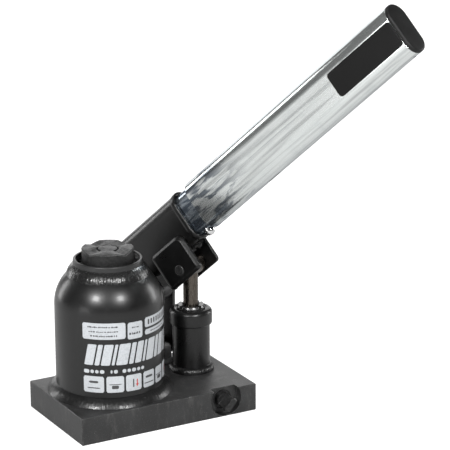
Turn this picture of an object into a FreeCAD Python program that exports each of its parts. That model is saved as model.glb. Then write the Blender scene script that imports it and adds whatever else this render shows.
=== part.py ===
"""Hydraulic bottle jack with a welded tank, a side pump and a telescopic oval handle.

Units are millimetres. The origin is the centre of the base block's underside, +Z is up,
+X runs along the base towards the pump, and -Y is the side with the release valve.
The pump lever is modelled in its own frame: X along the handle, Z square to it and up.
"""
import FreeCAD, Part
import math
import os

# Base block
BASE_LENGTH = 180.0
BASE_WIDTH = 112.0
BASE_HEIGHT = 26.0
EDGE = 0.5

# Tank, neck and main cylinder, all on one vertical axis
TANK = (-31.4, 4.8)
TANK_R = 50.0
TANK_WALL = 3.0
SHOULDER_Z = 109.5
SHOULDER_R = 40.0
NECK_R = 32.0
NECK_BORE_R = 29.5
NECK_TOP_Z = 152.3
CYLINDER_R = 29.0
CYLINDER_BORE_R = 23.0
CYLINDER_TOP_Z = 138.0
GASKET = 1.0
GLAND_TOP_Z = 146.0
TANK_WELD_LEG = 8.2
LABEL_Z = (37.0, 118.0)
LABEL_ANGLES = (-147.0, -20.0)
LABEL_THICKNESS = 0.25

# Ram, extension screw and saddle
RAM_R = 20.0
RAM_TOP_Z = 146.6
PISTON_Z = (38.0, 50.0)
SCREW_R = 13.0
SCREW_PITCH = 4.0
SCREW_FOOT_Z = 62.0
SADDLE_R = 24.0
SADDLE_Z = (147.0, 162.3)
CHANNEL = (15.0, 2.4)
CHANNEL_ANGLE = 16.0
SPIGOT_R = 6.5
BUTTON_HEAD = (9.2, 158.8)
HEAD_BORE_R = 10.6

# Pump
PUMP = (57.5, 10.8)
PUMP_R = 17.75
PUMP_TOP_Z = 84.0
COLLAR_R = 20.0
COLLAR_Z = (72.0, 87.0)
PLUNGER_R = 7.0
PLUNGER_FOOT_Z = 43.0
SPIGOT_BORE_R = 12.0
SPIGOT_BORE_Z = 16.0

# Lever: its vertical plane goes through the pump's axis
LEVER_AZIMUTH = -64.57
LEVER_ELEVATION = 42.0
LEVER_Z = 176.9
EYE_Z = 128.0
FULCRUM = (-35.0, 97.0)
LINK_FOOT = (-36.0, 40.0)
LUG_PIN = (-36.87, 39.47)
PIN_R = 5.0
OPEN_HOLE_R = 6.4
EYE_R = 9.0
TONGUE = 12.0
LINK_PLATE = 4.0

# Oval tubes: height and width of the outside
OVAL = (49.0, 24.5)
SOCKET_WALL = 2.6
SOCKET_S = (-90.0, 2.5)
INNER_OVAL = (43.1, 18.6)
INNER_S = (-86.9, 292.9)
OUTER_WALL = 2.3
OUTER_S = (19.0, 305.6)
CAP_FLANGE = 4.0
PAD_LENGTH = 83.3
PAD_THICKNESS = 1.4
BUTTON_S = 10.0
BUTTON_R = 5.2

# Bracket under the socket
CHEEK = 5.0
BRACKET_S = (-57.0, -10.5)
BRACKET_H = (-47.0, -9.0)

# Release valve and oil passages
VALVE = (58.0, 14.3)
POCKET_R = 16.0
POCKET_DEPTH = 8.0
STEM_R = 7.0
STEM_END_Y = -66.0
BALL_R = 3.0
DELIVERY = (76.0, 20.0)

FIT = 0.05
UP = FreeCAD.Vector(0, 0, 1)
FRONT_Y = -BASE_WIDTH / 2


def vec(x, y, z):
    return FreeCAD.Vector(x, y, z)


def save(name, shape):
    shape = shape.removeSplitter()
    if not shape.isValid():
        raise ValueError(name + " is not a valid shape")
    shape.exportStep("parts/" + name + ".step")


def rod(radius, start, end):
    """Cylinder between two points."""
    a = vec(*start)
    b = vec(*end)
    return Part.makeCylinder(radius, (b - a).Length, a, b - a)


def block(low, high):
    size = [b - a for a, b in zip(low, high)]
    return Part.makeBox(size[0], size[1], size[2], vec(*low))


def turned(outline, centre=(0.0, 0.0), sweep=360.0):
    """Revolve an (r, z) outline about a vertical axis; a point of four numbers ends an
    arc that passes through its last two."""
    edges = []
    last = outline[-1][:2]
    for point in outline:
        a = vec(centre[0] + last[0], centre[1], last[1])
        b = vec(centre[0] + point[0], centre[1], point[1])
        if len(point) == 4:
            middle = vec(centre[0] + point[2], centre[1], point[3])
            edges.append(Part.Arc(a, middle, b).toShape())
        else:
            edges.append(Part.LineSegment(a, b).toShape())
        last = point[:2]
    face = Part.Face(Part.Wire(edges))
    return face.revolve(vec(centre[0], centre[1], 0), UP, sweep)


def ring(inner, outer, low, high, centre=(0.0, 0.0)):
    corners = [(inner, low), (outer, low), (outer, high), (inner, high)]
    return turned(corners, centre)


def ring_y(inner, outer, low, high):
    """Ring about the release valve's axis, between two Y positions."""
    axis_x, axis_z = VALVE
    tube = rod(outer, (axis_x, low, axis_z), (axis_x, high, axis_z))
    if inner > 0:
        tube = tube.cut(rod(inner, (axis_x, low, axis_z), (axis_x, high, axis_z)))
    return tube


def oval(size, start, end):
    """Prism along X with straight sides and half-round top and bottom."""
    radius = size[1] / 2
    flat = size[0] / 2 - radius
    a = vec(start, -radius, -flat)
    b = vec(start, -radius, flat)
    c = vec(start, radius, flat)
    d = vec(start, radius, -flat)
    wire = Part.Wire([
        Part.LineSegment(a, b).toShape(),
        Part.Arc(b, vec(start, 0, flat + radius), c).toShape(),
        Part.LineSegment(c, d).toShape(),
        Part.Arc(d, vec(start, 0, -flat - radius), a).toShape(),
    ])
    return Part.Face(wire).extrude(vec(end - start, 0, 0))


def shrink(size, wall):
    return (size[0] - 2 * wall, size[1] - 2 * wall)


def edges_along(shape, axis, test):
    """Edges parallel to one axis whose middle passes the test."""
    found = []
    for edge in shape.Edges:
        if edge.Curve.TypeId != "Part::GeomLine":
            continue
        line = edge.Vertexes[1].Point - edge.Vertexes[0].Point
        middle = (edge.Vertexes[1].Point + edge.Vertexes[0].Point) * 0.5
        if abs(line.dot(axis)) > 0.999 * line.Length and test(middle):
            found.append(edge)
    return found


# The lever's frame and the upright frame of the pump and link, which share one plane
LEVER_PLACE = FreeCAD.Placement(vec(PUMP[0], PUMP[1], LEVER_Z),
                                FreeCAD.Rotation(LEVER_AZIMUTH, -LEVER_ELEVATION, 0))
PLANE_PLACE = FreeCAD.Placement(vec(PUMP[0], PUMP[1], 0), FreeCAD.Rotation(LEVER_AZIMUTH, 0, 0))


def placed(shape, place):
    shape = shape.copy()
    shape.Placement = place
    return shape


def in_lever(r, z):
    """Lever coordinates (along, square to it) of a point in the lever's plane."""
    turn = math.radians(LEVER_ELEVATION)
    rise = z - LEVER_Z
    return (r * math.cos(turn) + rise * math.sin(turn),
            rise * math.cos(turn) - r * math.sin(turn))


EYE_S, EYE_H = in_lever(0.0, EYE_Z)
FULCRUM_S, FULCRUM_H = in_lever(*FULCRUM)

# Passages drilled in the base: (start, end, radius)
SUCTION = [((9.5, PUMP[1], 5), (90, PUMP[1], 5), 2.0), ((9.5, PUMP[1], 5), (9.5, PUMP[1], 26), 2.0)]
PRESSURE = [((TANK[0], DELIVERY[1], 9), (90, DELIVERY[1], 9), 2.5),
            ((TANK[0], DELIVERY[1], 9), (TANK[0], DELIVERY[1], 26), 2.5),
            ((VALVE[0], -17.1, VALVE[1]), (VALVE[0], -14, VALVE[1]), 1.5),
            ((VALVE[0], -14, VALVE[1]), (40, DELIVERY[1], 9), 1.5)]
RETURN = [((0, -25, VALVE[1]), (90, -25, VALVE[1]), 2.0), ((0, -25, VALVE[1]), (0, -25, 26), 2.0)]
CROSS = ((PUMP[0], PUMP[1], 19), (DELIVERY[0], DELIVERY[1], 19), 2.0)
PLUG_BORES = [(PUMP[1], 5), (DELIVERY[1], 9), (-25, VALVE[1])]
PLUG_R = 4.0
PLUG_X = 82.0


def base_block():
    half = BASE_LENGTH / 2
    body = block((-half, FRONT_Y, 0), (half, -FRONT_Y, BASE_HEIGHT))
    body = body.makeChamfer(EDGE, body.Edges)
    pocket_z = POCKET_R + 0.5
    body = body.cut(rod(POCKET_R, (VALVE[0], FRONT_Y - 1, pocket_z),
                        (VALVE[0], FRONT_Y + POCKET_DEPTH, pocket_z)))
    for radius, low, high in ((9.5, -50, -36), (6.0, -37, -24), (2.8, -25, -17)):
        body = body.cut(ring_y(0, radius, low, high))
    top = BASE_HEIGHT + 1
    body = body.cut(rod(SPIGOT_BORE_R, (*PUMP, SPIGOT_BORE_Z), (*PUMP, top)))
    body = body.cut(rod(BALL_R + 0.6, (*PUMP, 11), (*PUMP, SPIGOT_BORE_Z + 1)))
    body = body.cut(rod(2.0, (*PUMP, 5), (*PUMP, 12)))
    body = body.cut(rod(5.0, (*DELIVERY, -1), (*DELIVERY, 4.5)))
    body = body.cut(rod(BALL_R + 0.6, (*DELIVERY, 4), (*DELIVERY, 14)))
    body = body.cut(rod(2.0, (*DELIVERY, 13), (*DELIVERY, 19)))
    for start, end, radius in SUCTION + PRESSURE + RETURN + [CROSS]:
        body = body.cut(rod(radius, start, end))
    for y, z in PLUG_BORES:
        body = body.cut(rod(PLUG_R, (PLUG_X, y, z), (half + 1, y, z)))
    return body


def base_plugs():
    ends = [rod(PLUG_R, (PLUG_X, y, z), (BASE_LENGTH / 2 - 0.5, y, z)) for y, z in PLUG_BORES]
    return Part.makeCompound(ends)


def dome(radius, drop):
    """Outline of the tank's cylinder and domed shoulder, moved in by a wall."""
    centre = TANK_R - SHOULDER_R
    arc = SHOULDER_R - drop
    end = math.radians(56)
    middle = end / 2
    return [(0, BASE_HEIGHT), (radius, BASE_HEIGHT), (radius, SHOULDER_Z),
            (centre + arc * math.cos(end), SHOULDER_Z + arc * math.sin(end),
             centre + arc * math.cos(middle), SHOULDER_Z + arc * math.sin(middle)),
            (0, SHOULDER_Z + arc * math.sin(end))]


FILLER_ANGLE = math.radians(100)
FILLER_Z = 95.0


def filler_rod(radius, low, high):
    """Cylinder along the filler hole's axis, between two distances from the tank's axis."""
    c = math.cos(FILLER_ANGLE)
    s = math.sin(FILLER_ANGLE)
    return rod(radius, (TANK[0] + low * c, TANK[1] + low * s, FILLER_Z),
               (TANK[0] + high * c, TANK[1] + high * s, FILLER_Z))


def tank_shell():
    shell = turned(dome(TANK_R, 0), TANK).cut(turned(dome(TANK_R - TANK_WALL, TANK_WALL), TANK))
    shell = shell.cut(rod(NECK_R, (*TANK, SHOULDER_Z), (*TANK, NECK_TOP_Z)))
    return shell.cut(filler_rod(6, 40, 60))


def tank_weld():
    leg = TANK_WELD_LEG
    low = BASE_HEIGHT
    bulge = leg * 0.66
    return turned([(TANK_R, low), (TANK_R + leg, low),
                   (TANK_R, low + leg, TANK_R + bulge, low + bulge)], TANK)


def neck_ring():
    wall = turned([(NECK_BORE_R, 130), (NECK_R, 130), (NECK_R, NECK_TOP_Z - 0.6),
                   (NECK_R - 0.6, NECK_TOP_Z), (NECK_BORE_R + 0.9, NECK_TOP_Z),
                   (NECK_BORE_R, NECK_TOP_Z - 0.9)], TANK)
    for step in range(3):
        z = GLAND_TOP_Z + 0.7 + 1.6 * step
        r = NECK_BORE_R
        wall = wall.cut(turned([(r - 0.1, z), (r + 0.9, z + 0.7), (r - 0.1, z + 1.4)], TANK))
    return wall


def neck_weld():
    bead = turned([(NECK_R, 136), (38.6, 136), (NECK_R, 147.8, 36.3, 143.4)], TANK)
    return bead.cut(turned(dome(TANK_R, 0), TANK))


def tank_label():
    """Thin sheet round the front of the tank, from low on its wall to the start of its shoulder."""
    low, high = LABEL_Z
    sheet = turned(dome(TANK_R + LABEL_THICKNESS, -LABEL_THICKNESS)).cut(turned(dome(TANK_R, 0)))
    start, end = LABEL_ANGLES
    reach = 2.2 * TANK_R
    corners = [vec(0, 0, low)]
    for step in range(4):
        a = math.radians(start + (end - start) * step / 3)
        corners.append(vec(reach * math.cos(a), reach * math.sin(a), low))
    wedge = Part.Face(Part.makePolygon(corners + corners[:1])).extrude(vec(0, 0, high - low))
    sheet = sheet.common(wedge)
    sheet.translate(vec(*TANK, 0))
    return sheet


def filler_plug():
    head = filler_rod(8.5, 45, 52.6)
    head = head.makeChamfer(0.8, [e for e in head.Edges if e.BoundBox.ZLength > 10][:1])
    head = head.cut(rod(TANK_R, (*TANK, 60), (*TANK, 120)))
    return head.fuse(filler_rod(6, 44, 51))


def main_cylinder():
    low = BASE_HEIGHT + GASKET
    r = CYLINDER_R
    top = CYLINDER_TOP_Z
    return turned([(CYLINDER_BORE_R, low), (r, low), (r, 130.5), (NECK_BORE_R, 131),
                   (NECK_BORE_R, top), (CYLINDER_BORE_R, top)], TANK)


def gland_nut():
    low = CYLINDER_TOP_Z
    r = RAM_R + FIT
    nut = turned([(r, low), (NECK_BORE_R, low), (NECK_BORE_R, GLAND_TOP_Z), (23, GLAND_TOP_Z),
                  (23, 143.6), (r, 143.6), (r, 142.4), (24, 142.4), (24, 139.2), (r, 139.2)], TANK)
    for turn in range(4):
        slot = block((25, -2.5, GLAND_TOP_Z - 2.5), (31, 2.5, GLAND_TOP_Z + 1))
        slot.rotate(vec(0, 0, 0), UP, 45 + 90 * turn)
        slot.translate(vec(*TANK, 0))
        nut = nut.cut(slot)
    return nut


def ram():
    low, high = PISTON_Z
    r = CYLINDER_BORE_R - FIT
    bore = SCREW_R + FIT
    return turned([(0, 31), (12, 31), (12, low), (r, low), (r, high), (RAM_R, high + 1.5),
                   (RAM_R, RAM_TOP_Z - 1), (RAM_R - 1, RAM_TOP_Z), (bore, RAM_TOP_Z),
                   (bore, 60), (0, 60)], TANK).cut(rod(4, (*TANK, 30), (*TANK, 44)))


def cup_seal():
    r = CYLINDER_BORE_R - FIT
    return turned([(12, 38), (12, 31.2), (14, 31.2), (14, 34.5), (20, 34.5), (20.5, 31.2),
                   (r, 31.2), (r, 38)], TANK)


def cup_screw():
    return turned([(0, 28), (8, 28), (8, 28.6), (4, 31), (4, 44), (0, 44)], TANK)


def cup_washer():
    return turned([(8, 28), (19, 28), (19, 31), (4, 31), (8, 28.6)], TANK)


def extension_screw():
    """Male thread drawn as rings of its pitch, under a plain neck and a riveted button."""
    outline = [(0, SCREW_FOOT_Z)]
    z = SCREW_FOOT_Z
    while z + SCREW_PITCH < 140:
        outline += [(SCREW_R - 2, z), (SCREW_R, z + 1.2), (SCREW_R, z + 2.4), (SCREW_R - 2, z + 3.6)]
        z += SCREW_PITCH
    r = SPIGOT_R - FIT
    low = SADDLE_Z[0] - 0.3
    head, seat = BUTTON_HEAD
    outline += [(SCREW_R - 2, low - 3), (SCREW_R, low - 3), (SCREW_R, low), (r, low), (r, seat),
                (head, seat), (head, seat + 1.6), (head - 1.2, seat + 2.5), (head / 2, seat + 2.9),
                (0, seat + 2.9)]
    return turned(outline, TANK)


def saddle():
    """Round saddle with four lobes between two shallow crossing channels."""
    low, high = SADDLE_Z
    seat = BUTTON_HEAD[1] - 0.2
    body = turned([(SPIGOT_R, low), (SADDLE_R - 1.5, low), (SADDLE_R, low + 1.5),
                   (SADDLE_R, high - 1.2), (SADDLE_R - 1.2, high), (HEAD_BORE_R, high),
                   (HEAD_BORE_R, seat), (SPIGOT_R, seat)], (0, 0))
    half = CHANNEL[0] / 2
    depth = CHANNEL[1]
    radius = (half ** 2 + depth ** 2) / (2 * depth)
    axis_z = high - depth + radius
    for turn in range(4):
        channel = rod(radius, (8, 0, axis_z), (30, 0, axis_z))
        channel.rotate(vec(0, 0, 0), UP, CHANNEL_ANGLE + 90 * turn)
        body = body.cut(channel)
    body.translate(vec(*TANK, 0))
    return body


def pump_cylinder():
    bore = PLUNGER_R + FIT
    barrel = turned([(bore, SPIGOT_BORE_Z), (SPIGOT_BORE_R, SPIGOT_BORE_Z),
                     (SPIGOT_BORE_R, BASE_HEIGHT), (PUMP_R, BASE_HEIGHT), (PUMP_R, COLLAR_Z[0]),
                     (17, COLLAR_Z[0]), (17, PUMP_TOP_Z - 4), (11.5, PUMP_TOP_Z - 4),
                     (11.5, 74), (bore, 74)], PUMP)
    return barrel.cut(rod(CROSS[2], CROSS[0], CROSS[1]))


def pump_foot_weld():
    low = BASE_HEIGHT
    return turned([(PUMP_R, low), (21.3, low), (20.6, low + 2.4), (18.9, low + 5.8, 20.3, low + 4.6),
                   (18.2, low + 5.8), (PUMP_R, low + 4.4)], PUMP)


def pump_collar():
    low, high = COLLAR_Z
    return turned([(17, low + 0.01), (COLLAR_R - 0.8, low), (COLLAR_R, low + 0.8),
                   (COLLAR_R, high - 4.5), (COLLAR_R - 3.5, high, COLLAR_R - 1, high - 1.4),
                   (13.2, high), (13.2, PUMP_TOP_Z - 4), (17, PUMP_TOP_Z - 4)], PUMP)


def pump_packing():
    return ring(PLUNGER_R + FIT, 11.5, 74, PUMP_TOP_Z - 4, PUMP)


def pump_gland():
    """Castellated nut that squeezes the packing."""
    low = PUMP_TOP_Z - 4
    nut = turned([(PLUNGER_R + FIT, low), (13.2, low), (13.2, 88.5), (12.2, 90.3),
                  (PLUNGER_R + 1.5, 90.3), (PLUNGER_R + FIT, 88.8)], PUMP)
    for turn in range(2):
        slot = block((-20, -2, 87.2), (20, 2, 92))
        slot.rotate(vec(0, 0, 0), UP, 15 + 90 * turn)
        slot.translate(vec(*PUMP, 0))
        nut = nut.cut(slot)
    return nut


def pump_plunger():
    half = OVAL[1] / 2 - 0.75
    rod_part = turned([(0, PLUNGER_FOOT_Z), (PLUNGER_R - 1, PLUNGER_FOOT_Z),
                       (PLUNGER_R, PLUNGER_FOOT_Z + 1), (PLUNGER_R, EYE_Z), (0, EYE_Z)])
    eye = rod(EYE_R, (0, -half, EYE_Z), (0, half, EYE_Z))
    body = rod_part.fuse(eye).cut(rod(PIN_R + FIT, (0, -20, EYE_Z), (0, 20, EYE_Z)))
    return placed(body, PLANE_PLACE)


def tongue(centre, foot, size):
    """Flat lug in the lever's plane: a round eye on a straight foot."""
    r, z = centre
    half = size / 2
    eye = rod(EYE_R, (r, -half, z), (r, half, z))
    low, high = sorted((z, foot))
    return eye.fuse(block((r - EYE_R, -half, low), (r + EYE_R, half, high)))


def fulcrum_lug():
    r, z = LUG_PIN
    half = TONGUE / 2
    lug = tongue(LUG_PIN, BASE_HEIGHT, TONGUE).cut(rod(PIN_R, (r, -half, z), (r, half, z)))
    return placed(lug, PLANE_PLACE)


def lug_weld():
    r = LUG_PIN[0]
    leg = 3.4
    half = TONGUE / 2
    bead = block((r - EYE_R - leg, -half - leg, BASE_HEIGHT), (r + EYE_R + leg, half + leg, BASE_HEIGHT + leg))
    bead = bead.makeChamfer(leg - 0.4, [e for e in bead.Edges if e.BoundBox.ZMin > BASE_HEIGHT + 1])
    bead = bead.cut(block((r - EYE_R, -half, BASE_HEIGHT - 1), (r + EYE_R, half, BASE_HEIGHT + 9)))
    inset = EDGE + 0.2
    half_length = BASE_LENGTH / 2 - inset
    half_width = BASE_WIDTH / 2 - inset
    plan = block((-half_length, -half_width, 0), (half_length, half_width, 60))
    return placed(bead, PLANE_PLACE).common(plan)


PIN_HALF = TONGUE / 2 + 0.4 + LINK_PLATE + 2.4
CLIP_W = TONGUE / 2 + 0.4 + LINK_PLATE + 0.5


def cross_pin(centre):
    """Pin across the lever's plane with a groove near each end for a snap ring."""
    r, z = centre
    pin = rod(PIN_R, (r, -PIN_HALF, z), (r, PIN_HALF, z))
    for side in (-1, 1):
        start = side * CLIP_W
        groove = rod(PIN_R + 1, (r, start, z), (r, start + side * 1.1, z))
        pin = pin.cut(groove.cut(rod(PIN_R - 0.7, (r, start, z), (r, start + side * 1.1, z))))
    return pin


def snap_rings(centre):
    r, z = centre
    rings = []
    for side in (-1, 1):
        start = (r, side * CLIP_W, z)
        end = (r, side * (CLIP_W + 1.1), z)
        clip = rod(PIN_R + 2.4, start, end).cut(rod(PIN_R - 0.7, start, end))
        rings.append(clip.cut(block((r - 2, -20, z), (r + 2, 20, z + 10))))
    return Part.makeCompound(rings)


def link_plate(side):
    """Flat link from the base lug's pin to the fulcrum pin; its lower hole is the loose one."""
    inner = side * (TONGUE / 2 + 0.4)
    outer = inner + side * LINK_PLATE
    top = (FULCRUM[0], FULCRUM[1])
    foot = (LINK_FOOT[0], LINK_FOOT[1])
    plate = rod(EYE_R, (top[0], inner, top[1]), (top[0], outer, top[1]))
    plate = plate.fuse(rod(EYE_R, (foot[0], inner, foot[1]), (foot[0], outer, foot[1])))
    length = math.hypot(top[0] - foot[0], top[1] - foot[1])
    low, high = sorted((inner, outer))
    bar = block((-EYE_R, low, 0), (EYE_R, high, length))
    bar.rotate(vec(0, 0, 0), vec(0, 1, 0), math.degrees(math.atan2(top[0] - foot[0], top[1] - foot[1])))
    bar.translate(vec(foot[0], 0, foot[1]))
    plate = plate.fuse(bar)
    plate = plate.cut(rod(PIN_R + FIT, (top[0], -20, top[1]), (top[0], 20, top[1])))
    plate = plate.cut(rod(OPEN_HOLE_R, (foot[0], -20, foot[1]), (foot[0], 20, foot[1])))
    return placed(plate, PLANE_PLACE)


def lever_socket():
    low, high = SOCKET_S
    tube = oval(OVAL, low, high).fuse(oval((OVAL[0] + 1.6, OVAL[1] + 1.6), high - 4, high))
    tube = tube.cut(oval(shrink(OVAL, SOCKET_WALL), low, high))
    return placed(tube, LEVER_PLACE)


def socket_end_plate():
    low = SOCKET_S[0]
    return placed(oval(shrink(OVAL, SOCKET_WALL), low, low + 3), LEVER_PLACE)


def lever_bracket():
    """Bent plate: a web behind and two cheeks that hug the socket and carry the plunger pin."""
    outer = OVAL[1] / 2 + CHEEK
    inner = OVAL[1] / 2
    back, front = BRACKET_S
    low, high = BRACKET_H
    body = block((back, -outer, low), (front, outer, high))
    body = body.makeFillet(6, edges_along(body, UP, lambda m: m.x < back + 1))
    across = vec(0, 1, 0)
    body = body.makeFillet(4, edges_along(body, across, lambda m: m.x > front - 1 and m.z < low + 1))
    body = body.makeFillet(9, edges_along(body, across, lambda m: m.x > front - 1 and m.z > high - 1))
    along = vec(1, 0, 0)
    body = body.makeChamfer(2.6, edges_along(body, along, lambda m: m.z > high - 1))
    room = block((back + CHEEK, -inner, low - 1), (front + 1, inner, high + 1))
    room = room.makeFillet(2.5, edges_along(room, UP, lambda m: m.x < back + CHEEK + 1))
    body = body.cut(room)
    body = body.cut(oval(OVAL, -80, 0))
    body = body.cut(block((back - 1, 2 - inner, low - 1), (back + CHEEK + 1, inner - 2, low + 7)))
    body = body.cut(rod(PIN_R, (EYE_S, -20, EYE_H), (EYE_S, 20, EYE_H)))
    return placed(body, LEVER_PLACE)


def bracket_weld():
    """Two beads inside the bracket, in the corners between its cheeks and the socket."""
    beads = []
    inner = OVAL[1] / 2
    for side in (-1, 1):
        bead = rod(5.5, (BRACKET_S[0] + CHEEK + 2.6, side * inner, -20.5), (BRACKET_S[1] - 4, side * inner, -20.5))
        bead = bead.cut(oval(OVAL, -80, 0)).common(block((-80, -inner, -60), (0, inner, 0)))
        beads.append(placed(bead, LEVER_PLACE))
    return Part.makeCompound(beads)


def fulcrum_ear():
    half = TONGUE / 2
    s, h = FULCRUM_S, FULCRUM_H
    ear = tongue((s, h), -18, TONGUE).cut(oval(OVAL, -100, 0))
    return placed(ear.cut(rod(PIN_R, (s, -half, h), (s, half, h))), LEVER_PLACE)


def plunger_pin():
    outer = OVAL[1] / 2 + CHEEK
    pin = rod(PIN_R, (EYE_S, -outer - 0.8, EYE_H), (EYE_S, outer + 0.8, EYE_H))
    return placed(pin.makeChamfer(0.6, [e for e in pin.Edges if e.Closed]), LEVER_PLACE)


def handle_inner_tube():
    low, high = INNER_S
    tube = oval(INNER_OVAL, low, high).cut(oval(shrink(INNER_OVAL, 2.0), low, high))
    tube = tube.cut(rod(BUTTON_R + 0.3, (BUTTON_S, 0, -30), (BUTTON_S, 0, -14)))
    return placed(tube, LEVER_PLACE)


def snap_button():
    button = rod(BUTTON_R, (BUTTON_S, 0, -22.3), (BUTTON_S, 0, -16.3))
    ball = Part.makeSphere(BUTTON_R, vec(BUTTON_S, 0, -22.3))
    return placed(button.fuse(ball), LEVER_PLACE)


def button_leaf():
    leaf = block((BUTTON_S - 5, -4, -16.3), (BUTTON_S + 50, 4, -15.5))
    return placed(leaf, LEVER_PLACE)


def handle_outer_tube():
    low, high = OUTER_S
    tube = oval(OVAL, low, high).cut(oval(shrink(OVAL, OUTER_WALL), low, high))
    slot = block((98, -1.75, -30), (114, 1.75, -20))
    for s in (98, 114):
        slot = slot.fuse(rod(1.75, (s, 0, -30), (s, 0, -20)))
    tube = tube.cut(slot)
    tube = tube.cut(rod(2.0, (300, 0, -30), (300, 0, 30)))
    return placed(tube, LEVER_PLACE)


def handle_end_cap():
    low = OUTER_S[1]
    flange = oval(OVAL, low, low + CAP_FLANGE)
    rim = [e for e in flange.Edges if e.BoundBox.XMin > low + CAP_FLANGE - 0.01]
    flange = flange.makeFillet(1.4, rim)
    plug = oval(shrink(OVAL, OUTER_WALL), 293, low)
    lugs = rod(2.0, (300, 0, -24.2), (300, 0, -20)).fuse(rod(2.0, (300, 0, 20), (300, 0, 24.2)))
    return placed(flange.fuse(plug).fuse(lugs), LEVER_PLACE)


def handle_pad():
    """Black plate on the handle's flat side, up to the cap's flange."""
    side = -OVAL[1] / 2
    high = OUTER_S[1]
    pad = block((high - PAD_LENGTH, side - PAD_THICKNESS, -12.2), (high, side, 12.2))
    across = vec(0, 1, 0)
    pad = pad.makeFillet(4, edges_along(pad, across, lambda m: m.x < high - 10))
    rim = [e for e in pad.Edges if e.BoundBox.YMax < side - PAD_THICKNESS + 0.01]
    return placed(pad.makeChamfer(0.5, rim), LEVER_PLACE)


def release_ball():
    return Part.makeSphere(2.5, vec(VALVE[0], -19.05, VALVE[1]))


def release_spindle():
    """Stem with a flat tang for a key; the neck turns in the base and holds the ball down."""
    stem = ring_y(0, STEM_R, STEM_END_Y, -37)
    stem = stem.makeChamfer(0.9, [e for e in stem.Edges if e.BoundBox.YMax < STEM_END_Y + 0.01])
    for side in (-1, 1):
        flat = block((-20, STEM_END_Y - 1, 3), (20, STEM_END_Y + 13, 20))
        flat.rotate(vec(0, 0, 0), vec(0, 1, 0), 90 - 90 * side)
        flat.rotate(vec(0, 0, 0), vec(0, 1, 0), -48)
        flat.translate(vec(VALVE[0], 0, VALVE[1]))
        stem = stem.cut(flat)
    neck = ring_y(0, 5.95, -37, -24.2).cut(ring_y(0, 7, -32, -30).cut(ring_y(0, 4.5, -32, -30)))
    return stem.fuse(neck).fuse(ring_y(0, 2.2, -24.2, -21.62))


def delivery_spring():
    pitch = 1.25
    height = 3.4
    wire_r = 0.4
    helix = Part.makeHelix(pitch, height, 2.3)
    circle = Part.Wire([Part.Circle(vec(2.3, 0, 0), vec(0, 1, 0), wire_r).toShape()])
    coil = Part.Wire(helix).makePipeShell([circle], True, True)
    coil.translate(vec(*DELIVERY, 4.5 + wire_r + 0.02))
    return coil


os.makedirs("parts", exist_ok=True)

save("base_block", base_block())
save("base_plugs", base_plugs())
save("tank_shell", tank_shell())
save("tank_weld", tank_weld())
save("neck_ring", neck_ring())
save("neck_weld", neck_weld())
save("tank_label", tank_label())
save("filler_plug", filler_plug())
save("main_cylinder", main_cylinder())
save("cylinder_gasket", ring(CYLINDER_BORE_R, CYLINDER_R, BASE_HEIGHT, BASE_HEIGHT + GASKET, TANK))
save("gland_nut", gland_nut())
save("ram_rod_seal", ring(RAM_R + FIT, 24, 139.2, 142.4, TANK))
save("ram_wiper", ring(RAM_R + FIT, 23, 143.6, GLAND_TOP_Z, TANK))
save("ram", ram())
save("ram_cup_seal", cup_seal())
save("cup_washer", cup_washer())
save("cup_screw", cup_screw())
save("saddle", saddle())
save("extension_screw", extension_screw())
save("pump_cylinder", pump_cylinder())
save("pump_foot_weld", pump_foot_weld())
save("pump_collar", pump_collar())
save("pump_packing", pump_packing())
save("pump_gland", pump_gland())
save("pump_plunger", pump_plunger())
save("fulcrum_lug", fulcrum_lug())
save("lug_weld", lug_weld())
save("lug_pin", placed(cross_pin(LUG_PIN), PLANE_PLACE))
save("lug_pin_clips", placed(snap_rings(LUG_PIN), PLANE_PLACE))
save("link_plate_near", link_plate(-1))
save("link_plate_far", link_plate(1))
save("lever_socket", lever_socket())
save("socket_end_plate", socket_end_plate())
save("lever_bracket", lever_bracket())
save("bracket_weld", bracket_weld())
save("fulcrum_ear", fulcrum_ear())
save("fulcrum_pin", placed(cross_pin((FULCRUM_S, FULCRUM_H)), LEVER_PLACE))
save("fulcrum_pin_clips", placed(snap_rings((FULCRUM_S, FULCRUM_H)), LEVER_PLACE))
save("plunger_pin", plunger_pin())
save("handle_inner_tube", handle_inner_tube())
save("snap_button", snap_button())
save("button_leaf", button_leaf())
save("handle_outer_tube", handle_outer_tube())
save("handle_end_cap", handle_end_cap())
save("handle_pad", handle_pad())
save("release_gland", ring_y(STEM_R + FIT, 9.5, -46.5, -36))
save("release_ball", release_ball())
save("release_spindle", release_spindle())
save("release_seal", ring_y(4.5, 5.97, -32, -30))
save("suction_ball", Part.makeSphere(BALL_R, vec(*PUMP, 13.3)))
save("delivery_ball", Part.makeSphere(BALL_R, vec(*DELIVERY, 11.7)))
save("delivery_spring", delivery_spring())
save("delivery_plug", rod(5.0, (*DELIVERY, 0.5), (*DELIVERY, 4.5)))
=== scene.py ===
"""Bottle jack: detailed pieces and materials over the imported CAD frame.

Lengths are written in millimetres and scaled to metres where meshes are made.
"""
import math
import random
import bpy
import bmesh
from mathutils import Matrix, Vector, noise


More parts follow.
